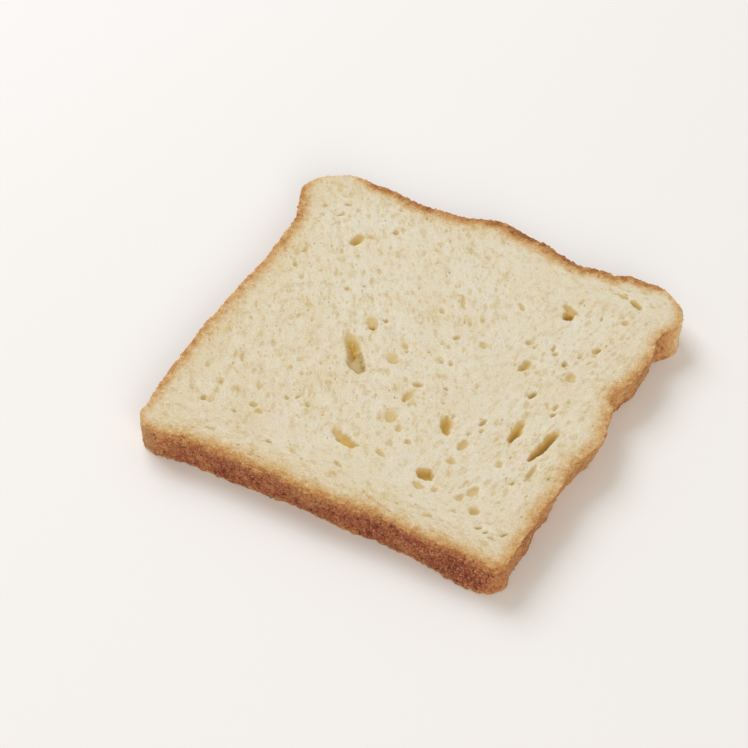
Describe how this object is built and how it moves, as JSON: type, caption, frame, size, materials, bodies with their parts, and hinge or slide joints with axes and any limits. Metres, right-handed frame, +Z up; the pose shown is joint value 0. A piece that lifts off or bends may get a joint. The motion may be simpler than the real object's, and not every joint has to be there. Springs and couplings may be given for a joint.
{
  "type": "white sandwich bread slice",
  "caption": "Square slice of white sandwich bread with a browned, wavy crust and an open crumb, lying flat on its cut face.",
  "frame": {"origin": "under the middle of the slice's box, on the surface it rests on", "axes": "+Z up, out of the upper cut face; +Y towards the loaf's top crust and -Y towards its dark base crust; +X across the loaf"},
  "size_m": [0.1248, 0.1232, 0.0105],
  "materials": {
    "crumb": "matte, open-celled, pale cream",
    "crust": "matte, grainy, browned"
  },
  "bodies": {
    "root": {"bread_slice": "crumb"}
  },
  "joints": []
}
